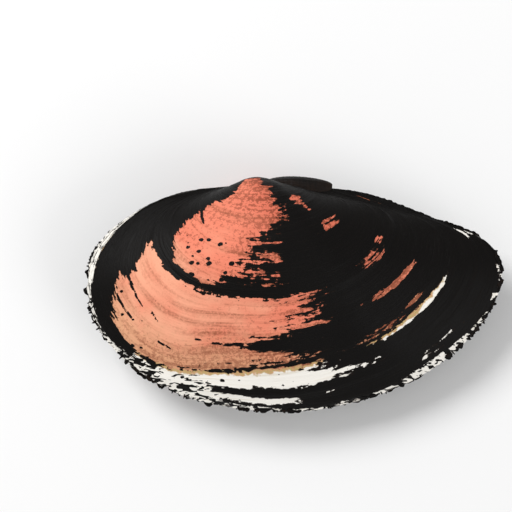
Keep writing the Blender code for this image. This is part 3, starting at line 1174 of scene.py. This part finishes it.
@dataclass
class Valve:
    """One valve: a thin domed shell with its beak, its relief and a chipped rim.

    Its points are kept in the shell's own axes until it is built, because the ligament lies on them.
    """

    name: str
    node: str
    side: Side
    spiral: Spiral
    relief: Relief
    worn_and_shaded: SkinAndShadeMap
    finish: ValveFinish
    around: int = 352
    outer_rows: int = 204
    inner_rows: int = 30
    chip_count: int = 30
    chip_sweeps: Tuple[float, float] = (0.17, 0.83)
    chip_half_width: Tuple[float, float] = (0.0015, 0.006)
    chip_depth: float = 0.55 * MM
    chip_reach: float = 0.025
    fray_waves: Tuple[int, ...] = (61, 97, 149, 173)
    fray_depth: float = 0.16 * MM
    sharp_above: float = 55.0
    mesh: Optional[bpy.types.Mesh] = field(default=None, repr=False)
    points: Optional[Rows] = field(default=None, repr=False)

    def turns(self) -> Rows:
        """Gives the turn of each row: the outer ones from the beak to the margin, then the inner ones."""
        tip = self.spiral.stage(np.array(self.spiral.beak_turn))
        stages = tip + (1.0 - tip) * np.linspace(0.0, 1.0, self.outer_rows) ** 1.15
        shares = np.linspace(0.0, 1.0, self.inner_rows + 1)[:-1]
        eased = 0.35 * shares + 0.65 * np.sin(shares * math.pi / 2) ** 1.3
        return np.concatenate([self.spiral.turn(stages[:-1]), [0.0], self.spiral.cavity_turn * eased])

    def chips(self, sweep: Rows) -> Rows:
        """Works out how far the rim is broken back: a few chips, and a fine frayed edge.

        Args:
            sweep: The sweep of each point.

        Returns:
            The depth at each point.
        """
        chance = np.random.default_rng(self.relief.seed + 2)
        depth = np.zeros_like(sweep)
        for _ in range(self.chip_count):
            middle, half_width = chance.uniform(*self.chip_sweeps), chance.uniform(*self.chip_half_width)
            deep = self.chip_depth * chance.random() ** 1.6
            depth = np.maximum(depth, deep * np.exp(-(((sweep - middle) / half_width) ** 4)))
        for waves in self.fray_waves:
            depth += self.fray_depth * (0.25 + 0.25 * np.sin(FULL_TURN * (waves * sweep + chance.random())))
        return depth * smooth(sweep, 0.06, 0.14) * smooth(sweep, 0.94, 0.88)

    def outer_points(self, sweep: Rows, turn: Rows) -> Rows:
        """Gives the finished outer surface.

        Args:
            sweep: The sweep of each point.
            turn: The turn of each point.

        Returns:
            One row of X, Y and Z for each point.
        """
        stage = self.spiral.stage(turn)
        points = self.spiral.outer(sweep, turn)
        level = self.worn_and_shaded.band.level_of(sweep, stage)
        height = self.relief.height(self.spiral.margin, sweep, stage, level)
        points = points + self.spiral.outward(sweep, turn) * height[:, None]
        reach = smooth(stage, 1.0 - self.chip_reach, 1.0)
        x_low, x_high = self.spiral.margin.x_range
        y_low, y_high = self.spiral.margin.y_range
        to_middle = np.array([(x_low + x_high) / 2, (y_low + y_high) / 2, 0.0]) - points
        to_middle[:, 2] = 0.0
        to_middle /= np.linalg.norm(to_middle, axis=1, keepdims=True)
        return points + to_middle * (self.chips(sweep) * reach)[:, None]

    def shape(self) -> None:
        """Pulls a ball into the valve's outer and inner surfaces, and stores what its finish reads."""
        turns = self.turns()
        rows = len(turns)
        self.mesh = ball(self.name, self.around, rows, self.side is Side.RIGHT)
        unit = points_of(self.mesh)
        row = np.rint(np.arccos(np.clip(unit[:, 2], -1.0, 1.0)) / math.pi * (rows + 1)).astype(int)
        sweep = sweep_of(unit)
        turn = np.concatenate([turns[:1], turns, turns[-1:]])[row]
        outside = row <= self.outer_rows
        points = np.empty_like(unit)
        points[outside] = self.outer_points(sweep[outside], turn[outside])
        points[~outside] = self.spiral.inner(sweep[~outside], turn[~outside])
        for pole, ring in ((0, 1), (rows + 1, rows)):
            points[row == pole] = points[row == ring].mean(axis=0)
        stage = self.spiral.stage(turn)
        level = self.worn_and_shaded.band.level_of(sweep, stage)
        read_by_finish = {
            "inside": (~outside).astype(float),
            # wear_and_shade marks where the dark skin lies, which is partly painted shade.
            "wear_and_shade": self.worn_and_shaded.wear_and_shade(sweep, stage),
            "specks": self.worn_and_shaded.specks(sweep, stage),
            "dabs": self.worn_and_shaded.dabs(sweep, stage),
            "past_band": level - self.worn_and_shaded.band.level,
            # coral_and_shade is partly the shell's own coral and partly painted shade.
            "coral_and_shade": self.coral_and_shade(sweep, stage),
            "growth": np.column_stack([points[:, :2] * 100, level]),
        }
        for name, values in read_by_finish.items():
            add_values(self.mesh, name, values)
        points[:, 2] = self.side.value * (points[:, 2] + self.spiral.gap / 2)
        self.points = points

    @staticmethod
    def coral_and_shade(sweep: Rows, stage: Rows) -> Rows:
        """Works out how far each point has turned from peach to coral, most of all behind the beak: partly
        the shell's own tone, partly painted shade that darkens the rear side, the part near the beak and the
        front by the hinge.

        Args:
            sweep: The sweep of each point.
            stage: The stage of each point.

        Returns:
            The share of coral, which carries the painted shade too.
        """
        behind = 0.10 + 0.62 * smooth(sweep, 0.27, 0.62)
        behind += 0.32 * smooth(stage, 0.58, 0.46) + 0.22 * smooth(stage, 0.40, 0.05)
        return np.clip(np.maximum(behind, smooth(sweep, 0.22, 0.10)), 0.0, 1.0)

    def surface(self) -> BVHTree:
        """Gives the valve's surface in the shell's own axes, for what lies on it."""
        faces = [tuple(face.vertices) for face in self.mesh.polygons]
        return BVHTree.FromPolygons([tuple(point) for point in self.points], faces)

    def build(self, placed: Matrix) -> bpy.types.Object:
        """Puts the valve in place of its node.

        Args:
            placed: Takes the shell's own axes to the frame.

        Returns:
            The piece.
        """
        move_points(self.mesh, self.points, placed, lowest=0.0)
        piece = shown(self.mesh, self.finish.make(), self.sharp_above)
        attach(piece, BODY)
        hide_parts(self.node)
        return piece


@dataclass
class Fringe:
    """The skin that hangs loose over one valve's rim, torn into flakes.

    Its band runs all the way round. Where the skin is lost, the band is sunk into the wall, out of sight.
    """

    name: str
    valve: Valve
    finish: FringeFinish = field(default_factory=FringeFinish)
    around: int = 2400
    across: int = 5
    flakes: int = 300
    flake_half_width: float = 0.0006
    flake_extra_width: float = 0.0045
    flake_lean: float = 0.8
    tufts: int = 54
    tuft_sweeps: Tuple[float, float] = (0.03, 0.97)
    tuft_half_width: float = 0.007
    longest: float = 0.75 * MM
    shortest_share: float = 0.12
    held_turn: float = 0.012
    proud: float = 0.03 * MM
    thickness: float = 0.07 * MM
    curl: float = 0.10 * MM
    curl_middle: float = 0.06 * MM
    bulge: float = 0.2
    torn_sweeps: Tuple[float, ...] = (0.0, 0.06, 0.16, 0.23, 0.42, 0.49, 0.56, 0.64, 0.78, 0.90, 1.0)
    torn_shares: Tuple[float, ...] = (0.0, 0.12, 0.35, 1.0, 0.95, 0.40, 0.45, 0.90, 0.55, 0.12, 0.0)
    lost_sweeps: Tuple[float, ...] = (
        0.11, 0.135, 0.44, 0.47, 0.52, 0.55, 0.685, 0.692,
        0.701, 0.704, 0.709, 0.712, 0.724, 0.727, 0.738, 0.742,
    )
    lost_shares: Tuple[float, ...] = (
        0.0, 1.0, 1.0, 0.5, 0.5, 1.0, 1.0, 0.0,
        0.0, 1.0, 1.0, 0.0, 0.0, 1.0, 1.0, 0.0,
    )
    kept_reach: float = 0.28 * MM
    root_reach: float = -0.10 * MM
    hidden_depth: float = 0.15 * MM
    hidden_reach: float = -0.35 * MM
    hidden_lift: float = 0.035 * MM
    sharp_above: float = 80.0

    def flakes_at(self, sweep: Rows) -> Rows:
        """Works out how far the flakes stand out past the rim before any is lost.

        Args:
            sweep: The sweep of each point.

        Returns:
            The reach at each point, below zero between the flakes.
        """
        chance = np.random.default_rng(self.valve.relief.seed + 3)
        reach = np.full_like(sweep, self.root_reach)
        tufts = chance.uniform(*self.tuft_sweeps, self.tufts)
        for _ in range(self.flakes):
            middle = chance.choice(tufts) + chance.normal(0.0, self.tuft_half_width)
            half_width = self.flake_half_width + self.flake_extra_width * chance.random() ** 3
            share_of_longest = self.shortest_share + (1.0 - self.shortest_share) * chance.random() ** 2
            lean = chance.uniform(-self.flake_lean, self.flake_lean)
            share = (sweep - middle) / half_width
            side = np.where(share > 0.0, 1.0 + lean, 1.0 - lean)
            outline = np.clip(1.25 - np.abs(share * side), 0.0, 1.0) ** 0.6
            reach = np.maximum(reach, self.longest * share_of_longest * outline + self.root_reach)
        return reach

    def band(self) -> bpy.types.Mesh:
        """Makes a plain band, closed into a ring, whose faces point outwards once it is bent."""
        bm = bmesh.new()
        bmesh.ops.create_cone(bm, segments=self.around, radius1=1.0, radius2=1.0, depth=1.0, cap_ends=False)
        upright = [edge for edge in bm.edges if abs(edge.verts[0].co.z - edge.verts[1].co.z) > 0.5]
        bmesh.ops.subdivide_edges(bm, edges=upright, cuts=self.across - 1, use_grid_fill=True)
        if self.valve.side is Side.RIGHT:
            bmesh.ops.reverse_faces(bm, faces=bm.faces)
        return as_mesh(bm, self.name)

    def held_edge(self, sweep: Rows, flakes: Rows, lost: Rows) -> Rows:
        """Works out the edge by which the skin still holds, farther from the rim behind a long flake.

        Args:
            sweep: The sweep of each point.
            flakes: How far the flakes stand out there.
            lost: The share of the skin that is lost there.

        Returns:
            One row of X, Y and Z for each point.
        """
        ragged = 1.0 + 0.35 * uneven(sweep, 83, 29, 1.0)
        turn = self.held_turn * (0.35 + 0.75 * np.clip(flakes / self.longest, 0.0, 1.0)) * ragged
        lift = self.proud - (self.proud + self.hidden_depth) * lost
        return self.valve.outer_points(sweep, turn) + self.valve.spiral.outward(sweep, turn) * lift[:, None]

    def torn_edge(self, sweep: Rows, flakes: Rows, lost: Rows) -> Tuple[Rows, Rows]:
        """Works out the torn edge, out past the rim, and how the skin bulges on its way there.

        Args:
            sweep: The sweep of each point.
            flakes: How far the flakes stand out there.
            lost: The share of the skin that is lost there.

        Returns:
            One row of X, Y and Z for each point, and one row for each point's bulge.
        """
        torn = np.interp(sweep, self.torn_sweeps, self.torn_shares)
        reach = flakes * torn * (1.0 - lost) + self.hidden_reach * lost
        at_rim = np.zeros_like(sweep)
        away = self.valve.spiral.outward(sweep, at_rim)
        away[:, 2] = 0.0
        away /= np.linalg.norm(away, axis=1, keepdims=True)
        edge = self.valve.outer_points(sweep, at_rim) + away * reach[:, None]
        curl = self.curl_middle + self.curl * uneven(sweep, 37, 11)
        edge[:, 2] += curl * (1.0 - lost) + self.hidden_lift * lost
        return edge, away * (np.maximum(reach, 0.0) * self.bulge)[:, None]

    def build(self, placed: Matrix) -> bpy.types.Object:
        """Bends a band of skin along the rim and tears its edge.

        Args:
            placed: Takes the shell's own axes to the frame.

        Returns:
            The piece.
        """
        mesh = self.band()
        unit = points_of(mesh)
        sweep = sweep_of(unit)
        out = (unit[:, 2] + 0.5)[:, None]
        flakes = self.flakes_at(sweep)
        short = smooth(flakes, self.kept_reach, 0.0)
        lost = short * np.interp(sweep, self.lost_sweeps, self.lost_shares)
        held = self.held_edge(sweep, flakes, lost)
        torn, bulge = self.torn_edge(sweep, flakes, lost)
        points = held * (1.0 - out) + torn * out + bulge * out * (1.0 - out)
        points[:, 2] = self.valve.side.value * (points[:, 2] + self.valve.spiral.gap / 2)
        move_points(mesh, points, placed)
        piece = shown(mesh, self.finish.make(), self.sharp_above)
        wall = piece.modifiers.new("thickness", "SOLIDIFY")
        wall.thickness = self.thickness
        wall.offset = 0.0
        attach(piece, BODY)
        return piece


@dataclass
class Ligament:
    """The horny hump behind the beaks, ribbed along its length and cracked across it."""

    name: str = "ligament_band"
    node: str = "ligament"
    start: float = 1.2 * MM
    end: float = 13.9 * MM
    half_width: float = 1.75 * MM
    height: float = 1.6 * MM
    sunk: float = 0.06 * MM
    around: int = 96
    rows: int = 180
    fullness: Tuple[float, float] = (1.12, 0.78)
    rib_waves: Tuple[int, ...] = (9, 14, 23)
    ring_waves: Tuple[int, ...] = (13, 21, 34)
    rib_height: float = 0.025 * MM
    ring_height: float = 0.007 * MM
    ray_start: float = 50.0 * MM
    seed: int = 5
    sharp_above: float = 70.0
    finish: LigamentFinish = field(default_factory=LigamentFinish)

    def base(self, surfaces: Sequence[BVHTree], x: float, z: float) -> float:
        """Finds the Y of the valves' upper side at one place, the higher of the two.

        Args:
            surfaces: The valves' surfaces.
            x: The place's X.
            z: The place's Z.

        Returns:
            The Y, or 0 where there is no valve below.
        """
        above, down = Vector((x, self.ray_start, z)), Vector((0.0, -1.0, 0.0))
        hits = (surface.ray_cast(above, down)[0] for surface in surfaces)
        return max((hit.y for hit in hits if hit is not None), default=0.0)

    def roughness(self, angle: Rows, along: Rows) -> Rows:
        """Adds up the ribs that run along the hump and the lower rings that run across it.

        Args:
            angle: The angle of each point about the hump's axis.
            along: How far along the hump each point is, from 0 to 1.

        Returns:
            Their height at each point.
        """
        chance = np.random.default_rng(self.seed)
        ribs = sum(
            np.sin(waves * angle + 2.0 * along * chance.uniform(-1.0, 1.0) + chance.uniform(0.0, 6.0))
            for waves in self.rib_waves
        )
        rings = sum(
            np.sin(FULL_TURN * (waves * along + chance.random()) + 0.7 * np.sin(3 * angle))
            for waves in self.ring_waves
        )
        return ribs * self.rib_height + rings * self.ring_height

    def build(self, surfaces: Sequence[BVHTree], placed: Matrix) -> bpy.types.Object:
        """Pulls a ball into the hump, sunk a little into the valves all along its foot.

        Args:
            surfaces: The valves' surfaces.
            placed: Takes the shell's own axes to the frame.

        Returns:
            The piece.
        """
        mesh = ball(self.name, self.around, self.rows)
        unit = points_of(mesh)
        along = 0.5 - 0.5 * unit[:, 2]
        girth = np.hypot(unit[:, 0], unit[:, 1])
        turned = np.divide(unit[:, :2], np.maximum(girth, 1e-6)[:, None])
        x = self.start + (self.end - self.start) * along
        front, rear = self.fullness
        fullness = girth * (front + (rear - front) * along)
        rough = self.roughness(np.arctan2(turned[:, 1], turned[:, 0]), along) * girth
        z = self.half_width * fullness * turned[:, 0]
        lift = np.maximum(turned[:, 1], 0.0)
        foot = np.array([self.base(surfaces, *place) for place in zip(x, z)]) - self.sunk
        middle = np.array([self.base(surfaces, place, 0.0) for place in x])
        crown = np.maximum(middle + self.height * fullness, foot)
        y = foot + (crown - foot + rough) * lift
        add_values(mesh, "edge", np.clip(1.0 - lift * girth, 0.0, 1.0))
        move_points(mesh, np.stack([x, y, z + rough * turned[:, 0]], axis=1), placed)
        piece = shown(mesh, self.finish.make(), self.sharp_above)
        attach(piece, BODY)
        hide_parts(self.node)
        return piece


@dataclass(frozen=True)
class RestPose:
    """How the shell lies on its right valve: turned about X, then about Y, and set down on its flat spot."""

    roll: float = math.radians(6.3)
    pitch: float = math.radians(1.3)
    around: int = 56
    rows: int = 120

    def placed(self, spiral: Spiral, relief: Relief) -> Matrix:
        """Works out where the shell's own axes lie, by setting a plain left valve in its node's box.

        Args:
            spiral: The valve's shape.
            relief: Its relief, of which only the ridge reaches as far as the box.

        Returns:
            The matrix that takes the shell's own axes to the frame.
        """
        turned = Matrix.Rotation(self.pitch, 4, "Y") @ Matrix.Rotation(self.roll, 4, "X")
        sweep, turn = np.meshgrid(
            np.arange(self.around) / self.around, np.linspace(0.0, spiral.beak_turn, self.rows)
        )
        sweep, turn = sweep.ravel(), turn.ravel()
        stage = spiral.stage(turn)
        height = relief.ridge(sweep, stage)
        points = spiral.outer(sweep, turn) + spiral.outward(sweep, turn) * height[:, None]
        points[:, 2] += spiral.gap / 2
        points = points @ np.array(turned.to_3x3()).T
        node_low, node_high = (np.array(corner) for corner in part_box("left_valve"))
        shift = (node_low + node_high) / 2 - (points.min(axis=0) + points.max(axis=0)) / 2
        return Matrix.Translation(shift) @ turned


@dataclass(frozen=True)
class PhotographView:
    """The photograph's view, square on to the plane where the valves meet."""

    frame_pixels: float = 512.0
    length_pixels: float = 418.0
    hinge_pixel: Tuple[float, float] = (255.0, 185.0)
    lens: float = 180.0
    sensor: float = 36.0

    def build(self, placed: Matrix, length: float) -> bpy.types.Object:
        """Makes the camera.

        Args:
            placed: Takes the shell's own axes to the frame.
            length: The shell's length.

        Returns:
            The camera.
        """
        scale = length / self.length_pixels
        half = self.frame_pixels / 2
        aim_x = (half - self.hinge_pixel[0]) * scale
        aim_y = (self.hinge_pixel[1] - half) * scale
        away = self.lens / self.sensor * self.frame_pixels * scale
        camera = bpy.data.objects.new("photograph_view", bpy.data.cameras.new("photograph_view"))
        camera.data.lens = self.lens
        camera.data.sensor_width = self.sensor
        camera.data.clip_start, camera.data.clip_end = 0.01, 20.0
        camera.matrix_world = placed @ Matrix.Translation((aim_x, aim_y, away))
        bpy.context.scene.collection.objects.link(camera)
        bpy.context.scene.camera = camera
        return camera


@dataclass(frozen=True)
class SoftBox:
    """One soft studio light."""

    name: str
    place: Tuple[float, float, float]
    size: float
    power: float

    def build(self) -> bpy.types.Object:
        """Makes the light, turned towards the shell."""
        data = bpy.data.lights.new(self.name, "AREA")
        data.shape = "DISK"
        data.size = self.size
        data.energy = self.power
        light = bpy.data.objects.new(self.name, data)
        light.location = self.place
        light.rotation_euler = (-Vector(self.place)).to_track_quat("-Z", "Y").to_euler()
        bpy.context.scene.collection.objects.link(light)
        return light


@dataclass
class Studio:
    """A plain pale floor and soft lights."""

    floor_size: float = 3.0
    sky: Colour = (1.0, 1.0, 1.0)
    sky_strength: float = 0.5
    lights: Tuple[SoftBox, ...] = (
        SoftBox("key_light", (-0.42, 0.40, 0.62), 0.42, 5.2),
        SoftBox("fill_light", (0.65, -0.45, 0.55), 0.60, 2.4),
    )
    finish: FloorFinish = field(default_factory=FloorFinish)

    def build(self) -> None:
        """Makes the floor, the lights and the pale sky."""
        bm = bmesh.new()
        bmesh.ops.create_grid(bm, x_segments=2, y_segments=2, size=self.floor_size / 2)
        mesh = as_mesh(bm, "floor")
        mesh.materials.append(self.finish.make())
        floor = bpy.data.objects.new("floor", mesh)
        bpy.context.scene.collection.objects.link(floor)
        for light in self.lights:
            light.build()
        world = bpy.data.worlds.new("studio")
        world.use_nodes = True
        background = world.node_tree.nodes["Background"]
        background.inputs["Color"].default_value = (*self.sky, 1.0)
        background.inputs["Strength"].default_value = self.sky_strength
        bpy.context.scene.world = world
        bpy.context.scene.view_settings.view_transform = "Standard"


def main() -> None:
    """Builds the shell, the studio and the camera in order, and reports each."""
    logging.basicConfig(level=logging.INFO, format="%(name)s: %(message)s")
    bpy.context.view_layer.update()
    spiral = Spiral(Margin())
    left_relief, right_relief = Relief(seed=11), Relief(seed=29)
    placed = RestPose().placed(spiral, left_relief)
    valves = (
        Valve("upper_valve", "left_valve", Side.LEFT, spiral, left_relief, LEFT_SKIN_AND_SHADE,
              ValveFinish("left_valve", (0.0, 0.0, 0.0))),
        Valve("lower_valve", "right_valve", Side.RIGHT, spiral, right_relief, RIGHT_SKIN_AND_SHADE,
              ValveFinish("right_valve", (7.3, 2.9, 4.1))),
    )
    for valve in valves:
        valve.shape()
    surfaces = [valve.surface() for valve in valves]
    for valve in valves:
        piece = valve.build(placed)
        LOG.info("%s: %d faces", piece.name, len(piece.data.polygons))
    for name, valve in zip(("upper_fringe", "lower_fringe"), valves):
        piece = Fringe(name, valve).build(placed)
        LOG.info("%s: %d faces", piece.name, len(piece.data.polygons))
    piece = Ligament().build(surfaces, placed)
    LOG.info("%s: %d faces", piece.name, len(piece.data.polygons))
    PhotographView().build(placed, spiral.margin.length)
    Studio().build()
    LOG.info("studio and camera")


if __name__ == "__main__":
    main()
